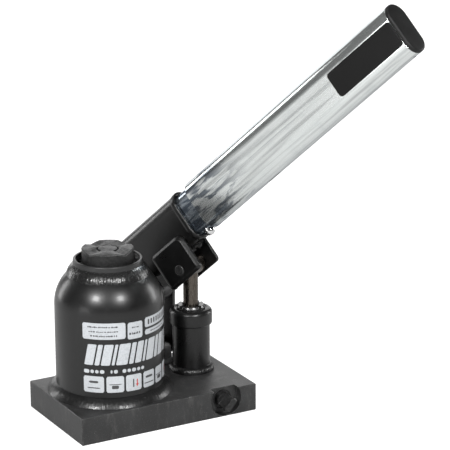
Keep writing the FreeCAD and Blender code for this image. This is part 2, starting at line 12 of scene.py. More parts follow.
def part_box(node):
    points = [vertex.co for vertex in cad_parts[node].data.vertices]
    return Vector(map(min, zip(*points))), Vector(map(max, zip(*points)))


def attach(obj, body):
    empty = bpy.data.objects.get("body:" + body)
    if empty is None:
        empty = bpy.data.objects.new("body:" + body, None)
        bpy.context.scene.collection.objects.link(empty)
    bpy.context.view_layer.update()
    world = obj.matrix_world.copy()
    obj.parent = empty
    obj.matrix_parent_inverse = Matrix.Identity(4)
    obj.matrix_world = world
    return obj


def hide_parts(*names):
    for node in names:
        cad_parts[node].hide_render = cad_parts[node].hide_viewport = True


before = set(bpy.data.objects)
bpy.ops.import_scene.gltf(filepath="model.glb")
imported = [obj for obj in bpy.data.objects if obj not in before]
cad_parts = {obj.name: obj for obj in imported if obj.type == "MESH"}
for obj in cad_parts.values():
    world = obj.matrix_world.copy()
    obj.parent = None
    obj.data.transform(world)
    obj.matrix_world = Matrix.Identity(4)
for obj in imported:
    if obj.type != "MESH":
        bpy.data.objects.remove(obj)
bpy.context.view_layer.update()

MM = 0.001
# Metres within which a seam's vertices are one, and the radius that closes a profile on its axis
SAME_PLACE = 2e-6
ON_AXIS = 0.01


def middle(node):
    """Centre of a node's box, in millimetres."""
    low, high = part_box(node)
    return [(a + b) / 2 / MM for a, b in zip(low, high)]


TANK = middle("tank_shell")[:2]
PUMP = middle("pump_cylinder")[:2]
# The handle at rest: the bearing it points in, its rise, and its height over the pump's axis
LEVER_AZIMUTH = math.radians(-64.57)
LEVER_ELEVATION = math.radians(42)
LEVER_Z = 176.9

ALONG_FLAT = Vector((math.cos(LEVER_AZIMUTH), math.sin(LEVER_AZIMUTH), 0))
ALONG = ALONG_FLAT * math.cos(LEVER_ELEVATION) + Vector((0, 0, math.sin(LEVER_ELEVATION)))
ACROSS = Vector((-math.sin(LEVER_AZIMUTH), math.cos(LEVER_AZIMUTH), 0))
SQUARE = ALONG.cross(ACROSS)


def axes(x, y, z, origin):
    """Matrix whose columns are three directions and a place."""
    m = Matrix((x, y, z)).transposed().to_4x4()
    m.translation = Vector(origin)
    return m


# Swept rings run about local Z; an oval's long way is local Y
HANDLE = axes(ACROSS, SQUARE, ALONG, (PUMP[0], PUMP[1], LEVER_Z))
LEVER = axes(ALONG, ACROSS, SQUARE, (PUMP[0], PUMP[1], LEVER_Z))


def upright(x, y):
    """Place of a piece that is turned round a vertical axis."""
    return Matrix.Translation((x, y, 0))


# ---------------------------------------------------------------- mesh helpers

def smooth(x, low, high):
    """0 up to low, 1 from high on, with an even step between them."""
    t = min(max((x - low) / (high - low), 0.0), 1.0)
    return t * t * (3 - 2 * t)


def rounded(points, steps=5):
    """Closed (r, z) outline whose corners with a third number are rounded to that radius."""
    out = []
    count = len(points)
    for i, point in enumerate(points):
        here = Vector(point[:2])
        radius = point[2] if len(point) > 2 else 0
        if not radius:
            out.append(tuple(here))
            continue
        a = (Vector(points[i - 1][:2]) - here).normalized()
        b = (Vector(points[(i + 1) % count][:2]) - here).normalized()
        half = a.angle(b) / 2
        centre = here + (a + b).normalized() * (radius / math.sin(half))
        start = here + a * (radius / math.tan(half)) - centre
        end = here + b * (radius / math.tan(half)) - centre
        first = math.atan2(start.y, start.x)
        sweep = math.atan2(end.y, end.x) - first
        sweep = (sweep + math.pi) % (2 * math.pi) - math.pi
        for k in range(steps + 1):
            angle = first + sweep * k / steps
            out.append((centre.x + radius * math.cos(angle), centre.y + radius * math.sin(angle)))
    return out


def make_mesh(name, verts, faces, place, uvs=None, joined=True):
    """Mesh in metres from millimetre vertices in a local frame; joined closes its seams."""
    mesh = bpy.data.meshes.new(name)
    mesh.from_pydata([tuple((place @ Vector(v)) * MM) for v in verts], [], faces)
    if uvs:
        layer = mesh.uv_layers.new(name="surface")
        for loop in mesh.loops:
            layer.data[loop.index].uv = uvs[loop.vertex_index]
    if joined:
        bm = bmesh.new()
        bm.from_mesh(mesh)
        bmesh.ops.remove_doubles(bm, verts=bm.verts, dist=SAME_PLACE)
        bmesh.ops.recalc_face_normals(bm, faces=bm.faces)
        bm.to_mesh(mesh)
        bm.free()
    return mesh


def shade(mesh, sharp):
    """Smooth shading, with sharp edges above an angle in degrees."""
    mesh.shade_smooth()
    mesh.set_sharp_from_angle(angle=math.radians(sharp))


def add(name, data):
    """New object in the scene."""
    obj = bpy.data.objects.new(name, data)
    bpy.context.scene.collection.objects.link(obj)
    return obj


def build(name, verts, faces, place, body, replaced=(), uvs=None, sharp=38, joined=True):
    """Shaded piece from millimetre vertices in a local frame, riding on a body."""
    mesh = make_mesh(name, verts, faces, place, uvs, joined)
    shade(mesh, sharp)
    obj = add(name, mesh)
    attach(obj, body)
    if replaced:
        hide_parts(*replaced)
    return obj


def loft(rows, count, first=0, closed=False):
    """Quads between neighbouring rows of count vertices, each row a closed ring.
    closed joins the last row to the first one too."""
    quads = []
    for row in range(rows if closed else rows - 1):
        low, high = first + row * count, first + (row + 1) % rows * count
        for k in range(count):
            m = (k + 1) % count
            quads.append((low + k, low + m, high + m, high + k))
    return quads


def ring_points(core, segments, radius):
    """Columns round an oval, from the middle of its +X side: (cos, sin, core end, length so far)."""
    columns = []
    flat = 8 if core else 0
    arc = segments // 2
    for k in range(flat // 2):
        columns.append((1, 0, core * 2 * k / flat, core * 2 * k / flat))
    so_far = core
    for side in (1, -1):
        for k in range(arc):
            angle = math.pi * (k / arc + (side < 0))
            length = so_far + math.pi * radius * k / arc
            columns.append((math.cos(angle), math.sin(angle), core * side, length))
        so_far += math.pi * radius
        steps = flat if side > 0 else flat // 2
        for k in range(steps):
            at = 2 * core * k / flat
            columns.append((-side, 0, side * (core - at), so_far + at))
        so_far += 2 * core if side > 0 else core
    columns.append(columns[0][:3] + (so_far,))
    return columns


def sweep(profile, core=0.0, segments=192, shape=None):
    """Rings of a closed (r, z) profile round local Z. core is half the straight part of an oval.
    shape(angle, r, z) may move a point. Returns vertices, faces and (u, v) in millimetres."""
    verts, uvs = [], []
    ring = ring_points(core, segments, max(p[0] for p in profile))
    for cos, sin, end, length in ring:
        angle = math.atan2(sin, cos) % (2 * math.pi)
        for r, z in profile:
            if shape:
                r, z = shape(angle, r, z)
            verts.append((r * cos, end + r * sin, z))
            uvs.append((length, z))
    return verts, loft(len(ring), len(profile)), uvs


def turned(name, profile, place, body, replaced=(), core=0.0, segments=192, shape=None, sharp=38):
    """Piece swept round local Z from a closed (r, z) profile."""
    verts, faces, uvs = sweep(profile, core, segments, shape)
    return build(name, verts, faces, place, body, replaced, uvs, sharp)


# ---------------------------------------------------------------- material helpers

# Cosine of the angle between the softened and the true normal, on an edge and on a flat face
EDGE, FLAT = 0.875, 0.995


class Nodes:
    """Writes a material's node tree as expressions; each method adds nodes and returns an output."""

    def __init__(self, name):
        self.material = bpy.data.materials.new(name)
        self.material.use_nodes = True
        self.tree = self.material.node_tree
        self.shader = self.tree.nodes["Principled BSDF"]

    def node(self, kind, inputs=None, **settings):
        made = self.tree.nodes.new(kind)
        for key, value in settings.items():
            setattr(made, key, value)
        for key, value in (inputs or {}).items():
            self.put(made.inputs[key], value)
        return made

    def put(self, socket, value):
        if isinstance(value, bpy.types.NodeSocket):
            self.tree.links.new(value, socket)
        else:
            socket.default_value = value

    def set(self, **values):
        names = {"color": "Base Color", "rough": "Roughness", "metal": "Metallic", "normal": "Normal",
                 "coat": "Coat Weight", "coat_rough": "Coat Roughness", "specular": "Specular IOR Level"}
        for key, value in values.items():
            self.put(self.shader.inputs[names[key]], value)

    def where(self, stretch=(1, 1, 1)):
        """Object coordinates in metres, scaled."""
        source = self.node("ShaderNodeTexCoord").outputs["Object"]
        return self.node("ShaderNodeMapping", {"Vector": source, "Scale": stretch}).outputs[0]

    def uv(self):
        return self.node("ShaderNodeUVMap", uv_map="surface").outputs[0]

    def noise(self, where, scale, detail=4.0, rough=0.55, distort=0.0):
        made = self.node("ShaderNodeTexNoise", {"Vector": where, "Scale": scale, "Detail": detail,
                                                "Roughness": rough, "Distortion": distort})
        return made.outputs["Fac"]

    def math(self, kind, a, b=0.0, c=None):
        made = self.node("ShaderNodeMath", operation=kind)
        self.put(made.inputs[0], a)
        self.put(made.inputs[1], b)
        if c is not None:
            self.put(made.inputs[2], c)
        return made.outputs[0]

    def fit(self, value, low, high, to_low=0.0, to_high=1.0):
        made = self.node("ShaderNodeMapRange", {"Value": value, "From Min": low, "From Max": high,
                                                "To Min": to_low, "To Max": to_high})
        made.interpolation_type = "SMOOTHSTEP"
        return made.outputs[0]

    def mix(self, amount, a, b):
        made = self.node("ShaderNodeMix", data_type="RGBA")
        self.put(made.inputs[0], amount)
        self.put(made.inputs[6], a)
        self.put(made.inputs[7], b)
        return made.outputs[2]

    def bump(self, height, strength, distance, below=None):
        inputs = {"Height": height, "Strength": strength, "Distance": distance}
        if below is not None:
            inputs["Normal"] = below
        return self.node("ShaderNodeBump", inputs).outputs[0]

    def soft_normal(self, radius, samples=4):
        return self.node("ShaderNodeBevel", {"Radius": radius}, samples=samples).outputs[0]

    def edges(self, radius):
        """Mask that is 1 on edges, from a softened normal against the true one, and that normal."""
        soft = self.soft_normal(radius, 6)
        true = self.node("ShaderNodeNewGeometry").outputs["Normal"]
        product = self.node("ShaderNodeVectorMath", {0: soft, 1: true}, operation="DOT_PRODUCT")
        return self.fit(product.outputs["Value"], EDGE, FLAT, 1.0, 0.0), soft


def grey(value, warm=0.0):
    """Grey that leans to red where warm is above 0 and to blue where it is below."""
    return (value * (1 + warm), value, value * (1 - warm), 1)


def enamel(name, dark, light, rough, peel=0.00003, coat=0.0, speckle=0.0, wear_and_glint=0.0, edge=0.0006,
           grain=900, dust=0.0):
    """Sprayed black paint: orange peel, slight cloudiness, dust specks and worn edges."""
    m = Nodes(name)
    here = m.where()
    cloud = m.noise(here, 28, 5, 0.6)
    fine = m.noise(here, grain, 3, 0.6)
    color = m.mix(m.fit(cloud, 0.3, 0.7), grey(dark), grey(light, -0.01))
    if speckle:
        specks = m.fit(m.noise(here, 1700, 2, 0.7), 0.66, 0.74)
        color = m.mix(m.math("MULTIPLY", specks, speckle), color, grey(0.42))
    if dust:
        streak = m.noise(m.where((1, 1, 0.3)), 90, 6, 0.7)
        color = m.mix(m.math("MULTIPLY", m.fit(streak, 0.5, 0.8), dust), color, grey(0.2, 0.03))
    roughness = m.fit(cloud, 0.25, 0.75, rough - 0.05, rough + 0.06)
    roughness = m.math("ADD", roughness, m.math("MULTIPLY", fine, 0.06))
    mask, soft = m.edges(edge)
    if wear_and_glint:
        broken = m.fit(m.noise(here, 260, 5, 0.7), 0.42, 0.62)
        worn = m.math("MULTIPLY", m.math("MULTIPLY", mask, broken), wear_and_glint)
        color = m.mix(worn, color, grey(0.3, 0.01))
        roughness = m.math("SUBTRACT", roughness, m.math("MULTIPLY", worn, 0.1))
    normal = m.bump(fine, 0.55, peel, m.bump(m.noise(here, 150, 4, 0.5), 0.4, peel * 3, soft))
    m.set(color=color, rough=roughness, normal=normal, coat=coat, coat_rough=0.12)
    return m.material


def weld_paint(name, dark, light, rough, wear_and_glint=0.12):
    """Glossy paint over a weld bead, with fine spatter and painted glints: a few light grey specks in its
    colour.
    """
    m = Nodes(name)
    here = m.where()
    lumps = m.noise(here, 260, 4, 0.55, 0.4)
    fine = m.noise(here, 1500, 3, 0.6)
    color = m.mix(m.fit(lumps, 0.35, 0.7), grey(dark), grey(light))
    # painted glints: light grey specks in the colour stand in for sparkles of lamp light on the bead
    glint = m.fit(m.noise(here, 900, 3, 0.75), 0.66, 0.74)
    color = m.mix(m.math("MULTIPLY", glint, wear_and_glint), color, grey(0.5))
    normal = m.bump(fine, 0.25, 0.00006, m.bump(lumps, 0.5, 0.0003))
    roughness = m.fit(lumps, 0.3, 0.7, rough + 0.08, rough - 0.06)
    m.set(color=color, rough=roughness, normal=normal, coat=0.1, coat_rough=0.15)
    return m.material


def zinc(name, painted_reflection_span, light, rough, streaks=1.0):
    """Bright zinc over drawn tube: lines along it and dark blue-grey painted reflections of the jack's
    dark parts near its mouth.
    The surface's u runs round the tube and v along it, in millimetres."""
    m = Nodes(name)
    split = m.node("ShaderNodeSeparateXYZ", {"Vector": m.uv()})
    around, along = split.outputs[0], split.outputs[1]

    def stretched(u, v, shift=0.0):
        x = m.math("MULTIPLY_ADD", around, u, shift)
        y = m.math("MULTIPLY", along, v)
        return m.node("ShaderNodeCombineXYZ", {"X": x, "Y": y, "Z": shift}).outputs[0]

    lines = m.noise(stretched(1.3, 0.004), 1.0, 5, 0.7)
    wide = m.noise(stretched(0.22, 0.006, 3.1), 1.0, 3, 0.5, 0.4)
    reflection_blots = m.noise(stretched(0.17, 0.028, 7.7), 1.0, 3, 0.55, 0.5)
    cloud = m.noise(stretched(0.05, 0.05, 1.9), 1.0, 5, 0.6)
    scratch = m.fit(m.noise(stretched(6.0, 0.03, 5.0), 1.0, 2, 0.5), 0.66, 0.74)
    mid = tuple(c * 0.66 for c in light[:3]) + (1,)
    low = (light[0] * 0.5, light[1] * 0.53, light[2] * 0.55, 1)
    color = m.mix(m.fit(wide, 0.4, 0.66), light, mid)
    color = m.mix(m.math("MULTIPLY", m.fit(lines, 0.52, 0.75), 0.6 * streaks), color, low)
    color = m.mix(m.math("MULTIPLY", m.fit(cloud, 0.5, 0.8), 0.25), color, low)
    # painted reflections: dark blue-grey blotches near the mouth stand in for the jack's dark parts
    # reflected in the zinc
    near = m.fit(along, painted_reflection_span[0], painted_reflection_span[1], 1.0, 0.0)
    painted_reflections = m.math("MULTIPLY", m.fit(reflection_blots, 0.46, 0.56), near)
    color = m.mix(m.math("MULTIPLY", painted_reflections, 0.85), color, (0.075, 0.095, 0.125, 1))
    roughness = m.math("ADD", m.fit(wide, 0.3, 0.7, rough, rough + 0.1), m.math("MULTIPLY", scratch, 0.15))
    normal = m.bump(lines, 0.25, 0.00005, m.soft_normal(0.0005))
    m.set(color=color, rough=roughness, normal=normal, metal=0.92)
    m.shader.inputs["Specular Tint"].default_value = (0.55, 0.57, 0.6, 1)
    return m.material


def bare_steel(name, dark, light, rough, metal=1.0, ground=(1, 1, 1), scale=500, warm=0.0,
               edge=0.0003):
    """Machined or ground steel; ground stretches the tool marks."""
    m = Nodes(name)
    marks = m.noise(m.where(ground), scale, 5, 0.65)
    stain = m.noise(m.where(), 60, 5, 0.6)
    color = m.mix(m.fit(marks, 0.3, 0.7), grey(dark, warm), grey(light, warm))
    color = m.mix(m.math("MULTIPLY", m.fit(stain, 0.5, 0.75), 0.4), color, grey(dark * 0.6, warm))
    mask, soft = m.edges(edge)
    color = m.mix(m.math("MULTIPLY", mask, 0.5), color, grey(min(light * 1.5, 0.85)))
    normal = m.bump(marks, 0.35, 0.00004, soft)
    roughness = m.fit(marks, 0.3, 0.7, rough - 0.06, rough + 0.08)
    m.set(color=color, rough=roughness, normal=normal, metal=metal)
    return m.material


def forged(name):
    """Forged and phosphated steel: grain, pits, and faces that point up painted lighter in places as a
    painted top light.
    """
    m = Nodes(name)
    here = m.where()
    grain = m.noise(here, 520, 6, 0.72)
    pits = m.fit(m.noise(here, 900, 3, 0.7), 0.28, 0.42)
    broad = m.noise(here, 110, 4, 0.6)
    # painted top light: faces that point up are painted lighter, broken up by noise
    facing = m.node("ShaderNodeTexCoord").outputs["Normal"]
    up = m.node("ShaderNodeSeparateXYZ", {"Vector": facing}).outputs[2]
    painted_top_light = m.math("MULTIPLY", m.fit(up, 0.55, 0.95), m.fit(broad, 0.25, 0.6))
    color = m.mix(m.fit(grain, 0.3, 0.7), grey(0.01), grey(0.03))
    bright = m.mix(m.fit(grain, 0.35, 0.65), grey(0.08), grey(0.2))
    color = m.mix(m.math("MULTIPLY", painted_top_light, 0.8), color, bright)
    color = m.mix(pits, grey(0.01), color)
    mask, soft = m.edges(0.0007)
    color = m.mix(m.math("MULTIPLY", mask, m.fit(grain, 0.4, 0.6, 0.1, 0.5)), color, grey(0.28))
    normal = m.bump(grain, 0.7, 0.0003, m.bump(broad, 0.5, 0.0006, soft))
    m.set(color=color, rough=m.fit(grain, 0.3, 0.7, 0.42, 0.62), normal=normal, metal=0.35)
    return m.material


def moulded(name, dark, light, rough):
    """Moulded plastic or rubber with a fine spark-eroded grain."""
    m = Nodes(name)
    grain = m.noise(m.where(), 1300, 3, 0.6)
    scuff = m.noise(m.where((1, 1, 0.4)), 130, 6, 0.75)
    color = m.mix(m.fit(scuff, 0.4, 0.8), grey(dark), grey(light))
    normal = m.bump(grain, 0.6, 0.00006, m.soft_normal(0.0004))
    roughness = m.fit(scuff, 0.3, 0.75, rough - 0.05, rough + 0.1)
    m.set(color=color, rough=roughness, normal=normal, specular=0.22)
    return m.material


def label_ink(name, low, high):
    """Printed ink with slight mottling."""
    m = Nodes(name)
    here = m.where()
    spots = m.noise(here, 700, 4, 0.6)
    fade = m.noise(here, 45, 3, 0.5)
    color = m.mix(m.math("MULTIPLY", m.fit(spots, 0.35, 0.75), m.fit(fade, 0.3, 0.7, 0.5, 1.0)), high, low)
    m.set(color=color, rough=m.fit(spots, 0.3, 0.7, 0.3, 0.42), normal=m.bump(spots, 0.3, 0.00003))
    return m.material


MATERIAL = {
    "tank": enamel("tank_enamel", 0.004, 0.007, 0.3, coat=0.1, peel=0.00002),
    "lever": enamel("lever_enamel", 0.002, 0.004, 0.27, wear_and_glint=0.1, edge=0.002),
    "link": enamel("link_enamel", 0.007, 0.012, 0.42, wear_and_glint=0.4),
    "base": enamel("base_enamel", 0.016, 0.028, 0.42, peel=0.0001, speckle=0.4, wear_and_glint=0.5,
                   grain=500, dust=0.3),
    "pump": enamel("pump_enamel", 0.004, 0.008, 0.28, wear_and_glint=0.35, edge=0.001),
    # the weld paints' last number sets how many painted glints, light grey specks, they carry
    "weld": weld_paint("weld_paint", 0.003, 0.007, 0.36, wear_and_glint=0.06),
    "neck": weld_paint("neck_weld_paint", 0.006, 0.016, 0.26, wear_and_glint=0.4),
    "ring": enamel("ring_enamel", 0.012, 0.02, 0.34, wear_and_glint=1.3, edge=0.0009),
    "forged": forged("forged_steel"),
    "steel": bare_steel("machined_steel", 0.28, 0.45, 0.34),
    "thread": bare_steel("thread_steel", 0.2, 0.36, 0.36, ground=(1, 1, 3)),
    "ram": bare_steel("ground_ram", 0.52, 0.68, 0.16, ground=(1, 1, 8), scale=300),
    "oiled": bare_steel("oiled_steel", 0.075, 0.14, 0.28, ground=(1, 1, 0.25), scale=900,
                        warm=0.14),
    "phosphate": bare_steel("phosphated_steel", 0.02, 0.05, 0.4, metal=0.6),
    "gland": bare_steel("gland_steel", 0.05, 0.12, 0.28, metal=0.8, edge=0.0007),
    "polished": bare_steel("polished_steel", 0.75, 0.85, 0.1, scale=1500),
    "spring": bare_steel("spring_steel", 0.22, 0.34, 0.3),
    # each zinc's pair of numbers is the span along the tube, in mm, of its painted reflections
    "zinc": zinc("zinc_tube", (40.0, 105.0), (0.80, 0.83, 0.82, 1), 0.14),
    "zinc_inner": zinc("zinc_inner_tube", (250.0, 330.0), (0.34, 0.38, 0.42, 1), 0.2,
                       streaks=0.6),
    "plastic": moulded("black_plastic", 0.01, 0.018, 0.45),
    "pad": moulded("pad_plastic", 0.003, 0.006, 0.6),
    "seal": moulded("rubber_seal", 0.008, 0.016, 0.55),
    "white": label_ink("label_white", (0.38, 0.40, 0.42, 1), (0.50, 0.52, 0.54, 1)),
    "black_ink": label_ink("label_black", (0.03, 0.03, 0.032, 1), (0.06, 0.06, 0.062, 1)),
    "red_ink": label_ink("label_red", (0.42, 0.03, 0.03, 1), (0.55, 0.06, 0.05, 1)),
}


def paint(obj, *names):
    """Gives a piece its materials, in slot order."""
    obj.data.materials.clear()
    for name in names:
        obj.data.materials.append(MATERIAL[name])
    return obj


def repaint(name, *nodes):
    """Gives CAD nodes that stay a procedural material."""
    for node in nodes:
        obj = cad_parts[node]
        for slot in obj.material_slots:
            slot.material = MATERIAL[name]


def ripple(seed, pitch, radius, depth, lumps):
    """Shape function of a weld bead: overlapping ripples with uneven spacing and lumps."""
    def shape(angle, r, z):
        turns = round(2 * math.pi * radius / pitch)
        wander = 0.7 * noise.noise(Vector((math.cos(angle) * 3 + seed, math.sin(angle) * 3, seed)))
        phase = (angle / (2 * math.pi) * turns + wander - (z + r) * 0.12) % 1.0
        scale = smooth(phase, 0.0, 0.25) * (1 - smooth(phase, 0.45, 1.0))
        spot = Vector((math.cos(angle) * radius * 0.45, math.sin(angle) * radius * 0.45, z * 0.45 + seed))
        rough = noise.noise(spot) + 0.6 * noise.noise(spot * 2.3) + 0.4 * noise.noise(spot * 5)
        return depth * scale + lumps * rough
    return shape


def bead(name, outline, hidden, place, node, height, segments=1200, ink="weld"):
    """Weld bead round a joint on the base. The outline's points move out from the hidden corner
    by height, a ripple that fades at both toes."""
    count = len(outline)
    corner = Vector(hidden)

    def shape(angle, r, z):
        away = Vector((r, z)) - corner
        if away.length < 0.01:
            return r, z
        k = outline_index[(round(r, 4), round(z, 4))]
        fade = math.sin(math.pi * (k / (count - 1))) ** 0.5
        move = away.normalized() * height(angle, r, z) * fade
        return r + move.x, z + move.y

    outline_index = {(round(p[0], 4), round(p[1], 4)): i for i, p in enumerate(outline)}
    obj = turned(name, outline + [hidden], place, "base", (node,), segments=segments, shape=shape,
                 sharp=60)
    return paint(obj, ink)


def arc_points(start, through, end, count):
    """Points on the circle arc through three points."""
    (ax, ay), (bx, by), (cx, cy) = start, through, end
    d = 2 * (ax * (by - cy) + bx * (cy - ay) + cx * (ay - by))
    a2, b2, c2 = ax * ax + ay * ay, bx * bx + by * by, cx * cx + cy * cy
    ux = (a2 * (by - cy) + b2 * (cy - ay) + c2 * (ay - by)) / d
    uy = (a2 * (cx - bx) + b2 * (ax - cx) + c2 * (bx - ax)) / d
    radius = math.hypot(ax - ux, ay - uy)
    first = math.atan2(ay - uy, ax - ux)
    last = math.atan2(cy - uy, cx - ux)
    turn = (last - first + math.pi) % (2 * math.pi) - math.pi
    angles = [first + turn * k / (count - 1) for k in range(count)]
    return [(ux + radius * math.cos(a), uy + radius * math.sin(a)) for a in angles]


# ---------------------------------------------------------------- tank and base

BASE_TOP = 26
TANK_RADIUS, TANK_WALL = 50, 3
SHOULDER_Z, SHOULDER_RADIUS = 109.5, 40
SHOULDER_CENTRE = TANK_RADIUS - SHOULDER_RADIUS
NECK_RADIUS, NECK_BORE, THREAD_BORE, NECK_TOP = 32, 29.5, 30.3, 152.3


def shoulder(radius, degrees):
    """(r, z) points of the tank's round shoulder."""
    angles = [math.radians(a) for a in degrees]
    return [(SHOULDER_CENTRE + radius * math.cos(a), SHOULDER_Z + radius * math.sin(a)) for a in angles]


def tank_radius(z):
    """Outer radius of the tank at a height, on its straight wall or its shoulder."""
    rise = z - SHOULDER_Z
    if rise <= 0:
        return TANK_RADIUS
    return SHOULDER_CENTRE + math.sqrt(SHOULDER_RADIUS ** 2 - rise * rise)


outside = [(TANK_RADIUS, BASE_TOP)] + shoulder(SHOULDER_RADIUS, range(0, 57, 2))
inside = shoulder(SHOULDER_RADIUS - TANK_WALL, range(53, -1, -2)) + [(TANK_RADIUS - TANK_WALL, BASE_TOP)]
tank = turned("tank_body", outside + inside, upright(*TANK), "base", ("tank_shell",), segments=256)
paint(tank, "tank")

# the neck's bore has three thread grooves below its mouth
neck_bore = [(NECK_BORE, 151)]
for groove, land in ((150.3, 149.5), (148.8, 148), (147.3, 146.6)):
    neck_bore += [(THREAD_BORE, groove), (NECK_BORE, land)]
neck_profile = rounded([(NECK_RADIUS, 138), (NECK_RADIUS, NECK_TOP, 0.9), (NECK_BORE, NECK_TOP, 0.7)]
                       + neck_bore + [(NECK_BORE, 138)])
neck = turned("neck_rim", neck_profile, upright(*TANK), "base", ("neck_ring",), segments=224, sharp=30)
paint(neck, "ring")

bead("tank_weld_bead", arc_points((TANK_RADIUS, 34.1), (54.7, 30.8), (58.1, BASE_TOP), 11),
     (TANK_RADIUS, BASE_TOP), upright(*TANK), "tank_weld",
     ripple(seed=3.0, pitch=2.4, radius=54, depth=0.035, lumps=0.15))
bead("neck_weld_bead", arc_points((32.02, 147.6), (36.1, 143.2), (38.5, 137.4), 11),
     (NECK_RADIUS, 137), upright(*TANK), "neck_weld",
     ripple(seed=11.0, pitch=2.2, radius=36, depth=0.07, lumps=0.2), ink="neck")

repaint("base", "base_block")
repaint("phosphate", "base_plugs", "delivery_plug", "gland_nut", "release_gland", "release_spindle",
        "plunger_pin", "fulcrum_pin_clips", "lug_pin_clips")
repaint("steel", "main_cylinder", "cylinder_gasket", "cup_washer", "cup_screw", "lug_pin",
        "fulcrum_pin", "button_leaf")
repaint("seal", "ram_rod_seal", "ram_wiper", "ram_cup_seal", "pump_packing", "release_seal", "filler_plug")
repaint("polished", "release_ball", "suction_ball", "delivery_ball")
repaint("spring", "delivery_spring")
repaint("link", "link_plate_near", "link_plate_far", "fulcrum_lug", "fulcrum_ear", "socket_end_plate")
repaint("weld", "lug_weld")
repaint("lever", "lever_bracket")
repaint("ram", "ram")
repaint("gland", "pump_gland")
repaint("oiled", "pump_plunger")


# ---------------------------------------------------------------- label

MM_PER_DEGREE = math.radians(TANK_RADIUS)


def on_tank(degrees, z, offset):
    """Point that stands off the tank's outside by offset."""
    a, r = math.radians(degrees), tank_radius(z) + offset
    return (r * math.cos(a), r * math.sin(a), z)


def curved_patch(verts, faces, owner, outline, offset, ink):
    """Adds a flat outline of (degrees, z) points, wrapped on the tank, to the lists."""
    first = len(verts)
    for degrees, z in outline:
        verts.append(on_tank(degrees, z, offset))
    faces.append(tuple(range(first, len(verts))))
    owner.append(ink)


def strips(verts, faces, owner, a0, a1, z0, z1, offset, ink, corner=1.6, slant=0.0):
    """Rounded panel from a0 to a1 degrees, cut into narrow upright strips so that it curves.
    slant leans its ends, in mm of arc per mm of height."""
    steps = max(2, int(abs(a1 - a0) / 1.2))
    last = None
    for k in range(steps + 1):
        a = a0 + (a1 - a0) * k / steps
        short = max(0.0, corner - min(a - a0, a1 - a) * MM_PER_DEGREE)
        inset = corner - math.sqrt(max(0.0, corner ** 2 - short ** 2))
        pair = []
        for z in (z0 + inset, z1 - inset):
            pair.append(len(verts))
            verts.append(on_tank(a + slant * (z - z0) / MM_PER_DEGREE, z, offset))
        if last:
            faces.append((last[0], pair[0], pair[1], last[1]))
            owner.append(ink)
        last = pair


def make_label():
    """Generic printed label: rounded panels, plain bars and simple arrows, with no lettering."""
    verts, faces, owner = [], [], []
    panel = (verts, faces, owner)
    white, black, red = 0, 1, 2  # slots, in the order of paint below
    top, over = 0.22, 0.25  # standing off the tank, and on a panel
    # top row: two panels with rows of marks, then one with bars over a narrow one
    strips(*panel, -144.7, -99, 90.3, 105.8, top, white)
    random.seed(4)

    def dashes(a0, a1, z, height, ink):
        """Row of short marks of uneven length."""
        at = a0
        while at < a1 - 1.2:
            size = min(random.choice((1.0, 1.3, 1.8, 2.6)), a1 - at)
            strips(*panel, at, at + size, z, z + height * random.choice((0.8, 1.0, 1.0)), over, ink, 0.2)
            at += size + random.choice((0.5, 0.5, 1.1))

    dashes(-139, -106, 101.3, 1.5, black)
    dashes(-138, -105, 97.0, 1.2, black)
    dashes(-136, -108, 92.8, 1.6, black)
    strips(*panel, -96.8, -79.4, 89.0, 105.0, top, white)
    dashes(-92, -84, 99.2, 1.4, black)
    dashes(-95, -81.5, 93.2, 2.2, black)
    strips(*panel, -76, -29, 97.0, 106.4, top, white)
    for k in range(9):
        start = -72 + 4.4 * k
        strips(*panel, start, start + 2.4, 99.2, 104.2, over, black, 0.2)
    strips(*panel, -76, -29, 90.0, 95.0, top, white)
    dashes(-68, -42, 91.8, 1.3, black)
    # broad band of slanted bars, in place of a name
    start = -143.5
    for wide in (9.5, 5.0, 9.5, 3.0, 12.0, 5.0, 7.5, 3.0, 10.5, 5.5, 9.5, 3.0, 6.5):
        strips(*panel, start, start + wide, 65.5, 85.5, top, white, 0.5, 0.2)
        start += wide + 1.7
    # thin broken line
    line_parts = ((-144, -138), (-136.6, -133), (-131.6, -128), (-126.6, -122), (-115.5, -113.5),
                  (-112, -108), (-103, -99), (-97.6, -94), (-92.6, -88), (-86.6, -83), (-81.6, -78))
    for a0, a1 in line_parts:
        strips(*panel, a0, a1, 57.6, 61.2, top, white, 0.8)
    # row of pictogram tiles
    tiles = ((-144.5, -122.5), (-120, -101.5), (-99.5, -81.5), (-79, -63), (-60.5, -46), (-43.5, -29))
    for k, (a0, a1) in enumerate(tiles):
        strips(*panel, a0, a1, 39.2, 54.8, top, white)
        c = (a0 + a1) / 2
        if k % 3 == 0:
            strips(*panel, c - 5, c + 5, 48.2, 50.4, over, black, 0.6)
            strips(*panel, c - 7, c + 7, 43.0, 44.0, over, black, 0.3)
        elif k % 3 == 1:
            strips(*panel, c - 3.6, c + 3.6, 42.6, 46.0, over, black, 0.4)
            strips(*panel, c - 6.5, c + 6.5, 46.6, 47.3, over, black, 0.2)
        else:
            strips(*panel, c - 1.2, c + 0.2, 42.5, 50.5, over, black, 0.2)
            strips(*panel, c + 3.2, c + 4.4, 45.0, 50.0, over, red, 0.2)
            curved_patch(*panel, [(c + 2.1, 45.4), (c + 3.8, 42.6), (c + 5.5, 45.4)], over, red)
    obj = build("tank_label_print", verts, faces, upright(*TANK), "base", ("tank_label",), sharp=60,
                joined=False)
    paint(obj, "white", "black_ink", "red_ink")
    for face, ink in zip(obj.data.polygons, owner):
        face.material_index = ink


make_label()


# ---------------------------------------------------------------- saddle and screw

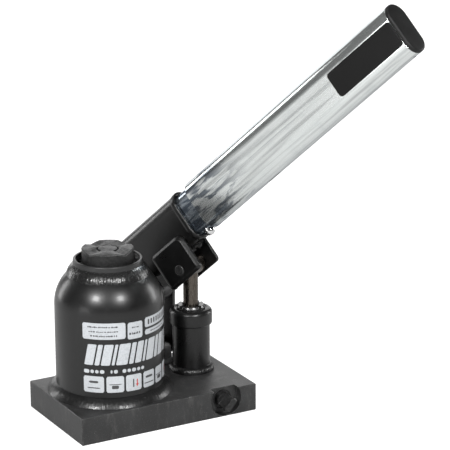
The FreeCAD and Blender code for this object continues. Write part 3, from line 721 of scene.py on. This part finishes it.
def make_saddle():
    """Forged saddle: four lobes between two soft crossing channels, round the screw's riveted head."""
    columns, across, down = 320, 56, 9
    verts = []
    low, top, radius, hole = 147.0, 162.3, 24.0, 10.4
    bore, head_seat = 6.5, 158.6
    channel_turns = (math.radians(16), math.radians(106))
    stake_turn = math.radians(-29.15)
    for i in range(columns):
        a = 2 * math.pi * i / columns
        inner = ((bore, low), (bore, head_seat), (8.0, head_seat), (hole, head_seat))
        column = [(r * math.cos(a), r * math.sin(a), z) for r, z in inner]
        # the hole's wall is closed up on the head in two places, where it was staked
        staked = smooth(abs(math.sin(a - stake_turn)), 0.72, 0.9)
        for k in range(across + 1):
            r = hole - 1.25 * staked * (1 - smooth(k / across, 0.0, 0.25)) + (radius - hole) * k / across
            x, y = r * math.cos(a), r * math.sin(a)
            depth = 0.9 * staked * (1 - smooth(r, 9.5, 12.5))
            for t in channel_turns:
                off = abs(-x * math.sin(t) + y * math.cos(t))
                fall = max(0.0, 1 - off / 8.6)
                channel = (1.1 + 1.3 * smooth(r, 9, 16)) * fall ** 0.9
                depth = max(depth, channel)
            lip = 0.7 * (1 - smooth(r, hole, hole + 2.0)) * (1 - staked)
            edge = smooth(r, radius - 1.7, radius)
            grain = 0.2 * noise.noise(Vector((x * 0.4, y * 0.4, 4.0)))
            grain += 0.12 * noise.noise(Vector((x * 1.1, y * 1.1, 9.0)))
            z = top - 0.12 - depth - lip - 1.1 * edge ** 2 + grain * smooth(radius - r, 0, 2)
            column.append((x, y, min(z, top)))
        edge_z = column[-1][2]
        for k in range(1, down + 1):
            z = edge_z + (low + 1.2 - edge_z) * k / down
            wob = 0.14 * noise.noise(Vector((math.cos(a) * 9, math.sin(a) * 9, z * 0.4)))
            r = radius - 0.18 + wob
            column.append((r * math.cos(a), r * math.sin(a), z))
        column.append(((radius - 1.2) * math.cos(a), (radius - 1.2) * math.sin(a), low))
        verts.extend(column)
    faces = loft(columns, len(column), closed=True)
    obj = build("forged_saddle", verts, faces, upright(*TANK), "saddle", ("saddle",), sharp=50)
    paint(obj, "forged")


make_saddle()


def make_screw():
    """Extension screw with a real helical thread of 4 mm pitch, a plain neck and a riveted button."""
    columns, pitch, step = 96, 4.0, 0.4
    foot, head = 62.0, 141.0
    root, thread_height = 11, 1.9
    rows = int((head - foot) / step)
    verts = []
    for k in range(rows + 1):
        z = foot + (head - foot) * k / rows
        ends = min(smooth(z, foot, foot + 3), 1 - smooth(z, head - 4, head))
        for i in range(columns):
            a = 2 * math.pi * i / columns
            t = ((z / pitch) - i / columns) % 1.0
            flank = smooth(t, 0.05, 0.3) * (1 - smooth(t, 0.7, 0.95))
            r = root + thread_height * flank * ends
            verts.append((r * math.cos(a), r * math.sin(a), z))
    faces = loft(rows + 1, columns)
    faces.append(tuple(range(columns))[::-1])
    obj = build("extension_thread", verts, faces, upright(*TANK), "screw", ("extension_screw",), sharp=50)
    paint(obj, "thread")
    collar_z, neck_z, button_z, button_top = 142.3, 146.7, 158.8, 161.6
    collar, screw_neck, button = 13, 6.45, 9.2
    profile = rounded([(ON_AXIS, 140.8), (root, 140.8), (collar, collar_z, 0.4), (collar, neck_z, 0.3),
                       (screw_neck, neck_z), (screw_neck, button_z), (button, button_z, 0.2),
                       (button, 161.1, 1.2), (4.6, button_top, 6), (ON_AXIS, button_top)])
    riveted = turned("extension_button", profile, upright(*TANK), "screw", segments=128)
    paint(riveted, "forged")


make_screw()


# ---------------------------------------------------------------- pump

BARREL_RADIUS, BARREL_SPIGOT, PUMP_BORE = 17.75, 17, 7.05
COLLAR_RADIUS, COLLAR_BORE, COLLAR_TOP = 20, 13.25, 87

barrel_profile = [(BARREL_RADIUS, BASE_TOP), (BARREL_RADIUS, 72.2), (BARREL_SPIGOT, 72.2),
                  (BARREL_SPIGOT, 80), (PUMP_BORE, 80), (PUMP_BORE, BASE_TOP)]
barrel = turned("pump_barrel", rounded(barrel_profile), upright(*PUMP), "base", ("pump_cylinder",),
                segments=160)
paint(barrel, "pump")

collar_profile = [(BARREL_RADIUS, 72, 0.3), (COLLAR_RADIUS, 72, 1.2), (COLLAR_RADIUS, COLLAR_TOP, 4.2),
                  (15.2, COLLAR_TOP, 0.5), (14.6, 86.2, 0.3), (COLLAR_BORE, 86.2, 0.3),
                  (COLLAR_BORE, 76), (17.7, 76)]
collar = turned("pump_collar_ring", rounded(collar_profile), upright(*PUMP), "base", ("pump_collar",),
                segments=176)
paint(collar, "pump")

bead("pump_weld_bead", arc_points((17.8, 31.7), (20.0, 30.2), (21.2, BASE_TOP), 9),
     (BARREL_RADIUS, BASE_TOP), upright(*PUMP), "pump_foot_weld",
     ripple(seed=21.0, pitch=2.2, radius=20, depth=0.2, lumps=0.22), segments=520)


# ---------------------------------------------------------------- lever and handle

# Half the straight part of every oval, and half the thickness of the socket, outer tube and cap
HALF_FLAT, HALF_THICK = 12.25, 12.25
# Half thicknesses, then places along the handle from the pump's axis
SOCKET_LIP, SOCKET_BORE, SOCKET_FOOT, SOCKET_END = 13.05, 9.65, -90, 2.5
OUTER_BORE, OUTER_FOOT, OUTER_END = 9.95, 19, 305.6
INNER_THICK, INNER_BORE, INNER_FOOT, INNER_END = 9.3, 7.3, -86.9, 292.9
CAP_PLUG, CAP_FOOT, CAP_SEAT, CAP_END = 9.9, 293, 305.65, 309.6
BUTTON_S = 10


def oval_piece(name, profile, body, node, segments=224):
    """Piece with an oval section along the handle, from a (half thickness, distance) outline."""
    return turned(name, rounded(profile), HANDLE, body, (node,), core=HALF_FLAT, segments=segments)


def cut(obj, cutters):
    """Takes cutter objects out of a piece and deletes them."""
    for tool in cutters:
        modifier = obj.modifiers.new("cut", "BOOLEAN")
        modifier.object = tool
        modifier.operation = "DIFFERENCE"
        modifier.solver = "EXACT"
    graph = bpy.context.evaluated_depsgraph_get()
    mesh = bpy.data.meshes.new_from_object(obj.evaluated_get(graph))
    obj.modifiers.clear()
    old = obj.data
    obj.data = mesh
    mesh.name = old.name
    bpy.data.meshes.remove(old)
    shade(mesh, 35)
    for tool in cutters:
        bpy.data.objects.remove(tool)


def side_hole(s, half_length, radius, low, high):
    """Cutter through the tube's narrow side, from low to high square to it."""
    place = LEVER @ axes((0, 1, 0), (1, 0, 0), (0, 0, -1), (s, 0, 0))
    profile = [(0.001, -high), (radius, -high), (radius, -low), (0.001, -low)]
    verts, faces, _ = sweep(profile, core=half_length, segments=48)
    return add("cutter", make_mesh("cutter", verts, faces, place))


socket_profile = [(HALF_THICK, SOCKET_FOOT, 0.8), (HALF_THICK, -3.2, 1.2), (SOCKET_LIP, -1.6, 0.9),
                  (SOCKET_LIP, SOCKET_END, 1.0), (SOCKET_BORE, SOCKET_END, 1.0),
                  (SOCKET_BORE, SOCKET_FOOT)]
paint(oval_piece("socket_tube", socket_profile, "lever", "lever_socket"), "lever")

outer_profile = [(HALF_THICK, OUTER_FOOT, 0.9), (HALF_THICK, OUTER_END, 0.3),
                 (OUTER_BORE, OUTER_END), (OUTER_BORE, OUTER_FOOT, 0.9)]
outer = oval_piece("outer_tube", outer_profile, "handle_outer", "handle_outer_tube", segments=256)
cut(outer, [side_hole(106, 8, 1.75, -30, -18), side_hole(300, 0, 2.0, -30, 30)])
paint(outer, "zinc")

inner_profile = [(INNER_THICK, INNER_FOOT, 0.6), (INNER_THICK, INNER_END, 0.6),
                 (INNER_BORE, INNER_END), (INNER_BORE, INNER_FOOT)]
inner = oval_piece("inner_tube", inner_profile, "handle_inner", "handle_inner_tube")
cut(inner, [side_hole(BUTTON_S, 0, 5.5, -30, -14)])
paint(inner, "zinc_inner")

cap_profile = [(ON_AXIS, CAP_END), (HALF_THICK, CAP_END, 1.9), (HALF_THICK, CAP_SEAT, 0.3),
               (CAP_PLUG, CAP_SEAT), (CAP_PLUG, CAP_FOOT, 0.8), (ON_AXIS, CAP_FOOT)]
paint(oval_piece("handle_cap", cap_profile, "handle_outer", "handle_end_cap"), "plastic")


def make_button():
    """Snap button: a short pin with a ball end that stands out of the inner tube's lower side."""
    radius, foot, ball_z = 5.2, 16.4, 22.3
    profile = [(ON_AXIS, foot), (radius, foot)]
    for degrees in range(0, 90, 6):
        a = math.radians(degrees)
        profile.append((radius * math.cos(a), ball_z + radius * math.sin(a)))
    profile.append((ON_AXIS, ball_z + radius))
    place = LEVER @ axes((1, 0, 0), (0, -1, 0), (0, 0, -1), (BUTTON_S, 0, 0))
    paint(turned("button_dome", profile, place, "button", ("snap_button",), segments=96), "polished")


make_button()


def make_pad():
    """Grip pad on the handle's flat face: a rounded outline and a rounded upper edge."""
    half_length, half_width, corner, thickness, edge = 41.6, 12.1, 3.6, 1.35, 0.6
    steps = 8
    rings = [(0.0, 0.0)]
    for degrees in (0, 22.5, 45, 67.5, 90):
        a = math.radians(degrees)
        rings.append((edge - edge * math.cos(a), thickness - edge + edge * math.sin(a)))
    verts = []
    for inset, z in rings:
        c = corner - inset
        for k, (sx, sy) in enumerate(((1, 1), (-1, 1), (-1, -1), (1, -1))):
            x, y = sx * (half_length - corner), sy * (half_width - corner)
            for n in range(steps + 1):
                a = math.radians(90 * k + 90 * n / steps)
                verts.append((x + c * math.cos(a), y + c * math.sin(a), z))
    count = 4 * (steps + 1)
    faces = loft(len(rings), count)
    faces.append(tuple(range(len(verts) - count, len(verts))))
    faces.append(tuple(range(count))[::-1])
    place = LEVER @ axes((1, 0, 0), (0, 0, 1), (0, -1, 0), (OUTER_END - 41.65, -HALF_THICK, 0))
    paint(build("grip_pad", verts, faces, place, "handle_outer", ("handle_pad",)), "pad")


make_pad()


def make_bracket_weld():
    """Uneven beads in the bracket's inner corners."""
    count, along = 40, 70
    start, length, depth, radius = -50.4, 39.0, -20.6, 5.2
    corner, wall = 12.2, 12.3
    verts, faces = [], []
    for side in (-1, 1):
        first = len(verts)
        for k in range(along + 1):
            s = start + length * k / along
            for i in range(count):
                a = 2 * math.pi * i / count
                spot = Vector((s * 0.3, math.cos(a) * 1.4 + side * 5, math.sin(a) * 1.4))
                swell = 1.05 + 0.42 * noise.noise(spot) + 0.2 * noise.noise(spot * 2.7)
                swell += 0.05 * math.sin(s * 2.4)
                end = 1 - 0.75 * smooth(abs(k / along - 0.5), 0.42, 0.5)
                r = radius * swell * end
                y = min(max(side * corner + r * math.cos(a) * 0.9, -wall), wall)
                verts.append((s, y, depth + r * math.sin(a)))
        faces += loft(along + 1, count, first)
        faces.append(tuple(range(first, first + count))[::-1])
        faces.append(tuple(range(len(verts) - count, len(verts))))
    obj = build("bracket_bead", verts, faces, LEVER, "lever", ("bracket_weld",), sharp=60, joined=False)
    paint(obj, "weld")


make_bracket_weld()


# ---------------------------------------------------------------- floor, light and camera

def make_floor():
    """Pale floor that the camera sees nearly white and the jack reflects as grey."""
    half = 6.0
    corners = [(-half, -half, 0), (half, -half, 0), (half, half, 0), (-half, half, 0)]
    mesh = bpy.data.meshes.new("floor")
    mesh.from_pydata(corners, [], [(0, 1, 2, 3)])
    obj = add("floor", mesh)
    m = Nodes("floor_paper")
    m.set(color=(0.42, 0.42, 0.42, 1), rough=0.9, specular=0.1)
    m.shader.inputs["Emission Color"].default_value = (1, 1, 1, 1)
    m.shader.inputs["Emission Strength"].default_value = 0.25
    tree = m.tree
    lit = tree.nodes.new("ShaderNodeBsdfDiffuse")
    lit.inputs["Color"].default_value = (0.55, 0.55, 0.55, 1)
    glow = tree.nodes.new("ShaderNodeEmission")
    glow.inputs["Strength"].default_value = 0.74
    both = tree.nodes.new("ShaderNodeAddShader")
    pick = tree.nodes.new("ShaderNodeMixShader")
    path = tree.nodes.new("ShaderNodeLightPath")
    tree.links.new(lit.outputs[0], both.inputs[0])
    tree.links.new(glow.outputs[0], both.inputs[1])
    tree.links.new(path.outputs["Is Camera Ray"], pick.inputs[0])
    tree.links.new(m.shader.outputs[0], pick.inputs[1])
    tree.links.new(both.outputs[0], pick.inputs[2])
    tree.links.new(pick.outputs[0], tree.nodes["Material Output"].inputs["Surface"])
    mesh.materials.append(m.material)


def softbox(name, position, size, power):
    """Rectangular lamp that faces the middle of the jack."""
    light = bpy.data.lights.new(name, "AREA")
    light.shape = "RECTANGLE"
    light.size, light.size_y = size
    light.energy = power
    obj = add(name, light)
    obj.location = position
    facing = Vector((0, 0, 0.12)) - Vector(position)
    obj.rotation_euler = facing.to_track_quat("-Z", "Y").to_euler()


def seen_from(azimuth, elevation):
    """Direction to a viewer: azimuth 0 stands in front, and elevation is above the floor."""
    a, e = math.radians(azimuth), math.radians(elevation)
    return Vector((math.cos(e) * math.sin(a), -math.cos(e) * math.cos(a), math.sin(e)))


def around(azimuth, elevation, distance):
    """Place in metres for a lamp, from 0.1 m above the floor's origin."""
    return seen_from(azimuth, elevation) * distance + Vector((0, 0, 0.1))


def make_light():
    """White background for the camera, a dim one for the object, and seven softboxes."""
    world = bpy.data.worlds.new("studio")
    bpy.context.scene.world = world
    world.use_nodes = True
    tree = world.node_tree
    background = tree.nodes["Background"]
    path = tree.nodes.new("ShaderNodeLightPath")
    mixed = tree.nodes.new("ShaderNodeMixShader")
    white = tree.nodes.new("ShaderNodeBackground")
    white.inputs["Color"].default_value = (1, 1, 1, 1)
    white.inputs["Strength"].default_value = 1.05
    background.inputs["Color"].default_value = (1, 1, 1, 1)
    background.inputs["Strength"].default_value = 0.07
    tree.links.new(path.outputs["Is Camera Ray"], mixed.inputs["Fac"])
    tree.links.new(background.outputs[0], mixed.inputs[1])
    tree.links.new(white.outputs[0], mixed.inputs[2])
    tree.links.new(mixed.outputs[0], tree.nodes["World Output"].inputs["Surface"])
    softbox("overhead", (0.1, 0.35, 1.7), (0.9, 0.8), 5)
    softbox("left_panel", around(-152, 6, 1.6), (0.35, 1.1), 7)
    softbox("left_front", around(-78, -2, 1.9), (0.6, 0.5), 4)
    softbox("front_left_box", around(-57, 33.5, 1.9), (0.36, 0.4), 30)
    softbox("front_right_box", around(1, 33.5, 1.9), (0.36, 0.4), 24)
    softbox("right_panel", around(88, 6, 1.7), (0.4, 1.0), 9)
    softbox("back_panel", around(155, 14, 2.2), (2.2, 1.2), 15)


def make_camera():
    """Camera at azimuth -29.1, elevation 17.1 and roll -0.2 degrees, from 2.16 m."""
    azimuth, elevation, roll, distance = -29.148, 17.122, math.radians(-0.236), 2158.0
    right = Vector((math.cos(math.radians(azimuth)), math.sin(math.radians(azimuth)), 0))
    back = seen_from(azimuth, elevation)
    up = back.cross(right)
    aim = right * 77.5 + up * 171.3
    turned_right = right * math.cos(roll) + up * math.sin(roll)
    turned_up = up * math.cos(roll) - right * math.sin(roll)
    data = bpy.data.cameras.new("camera")
    data.sensor_width = 36.0
    data.lens = 184.1
    data.clip_end = 50
    obj = add("camera", data)
    obj.matrix_world = axes(turned_right, turned_up, back, (aim + back * distance) * MM)
    bpy.context.scene.camera = obj


make_floor()
make_light()
make_camera()
bpy.context.scene.view_settings.view_transform = "Standard"
